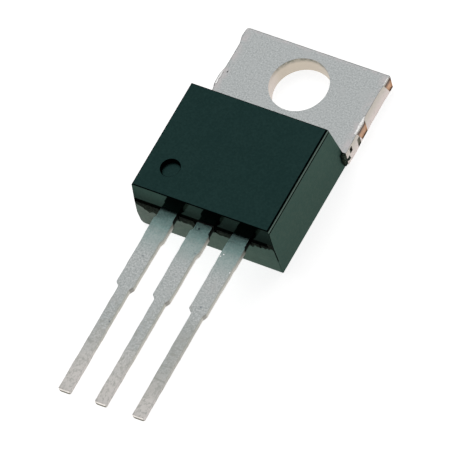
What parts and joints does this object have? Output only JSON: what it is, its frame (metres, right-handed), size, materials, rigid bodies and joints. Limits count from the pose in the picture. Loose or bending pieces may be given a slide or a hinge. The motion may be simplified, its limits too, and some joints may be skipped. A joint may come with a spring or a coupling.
{
  "type": "triac",
  "caption": "Triac in a flat moulded package with a plated copper mounting tab, a fixing hole and a row of flat leads; it switches alternating current.",
  "frame": {"origin": "on the axis of the mounting hole, at the back face of the tab", "axes": "+Z out of the moulded front, +Y towards the top edge of the tab, leads along -Y, main terminal lead on the -X side"},
  "size_m": [0.0102, 0.0279, 0.0045],
  "materials": {
    "epoxy_moulding": "fine spark-eroded mould texture, dark green-black",
    "tinned_copper_tab": "matte tin plate over copper, fine grain",
    "tinned_lead": "matte tin plate over copper, with drawn streaks",
    "solder": "dull reflowed solder",
    "silicon": "polished silicon with a metallised face",
    "bond_wire": "drawn aluminium"
  },
  "bodies": {
    "root": {"moulded_body": "epoxy_moulding", "mounting_tab": "tinned_copper_tab", "main_terminal_lead": "tinned_lead", "gate_lead": "tinned_lead", "die_solder": "solder", "triac_chip": "silicon", "main_bond_wire_1": "bond_wire", "main_bond_wire_2": "bond_wire", "gate_bond_wire": "bond_wire"}
  },
  "joints": []
}
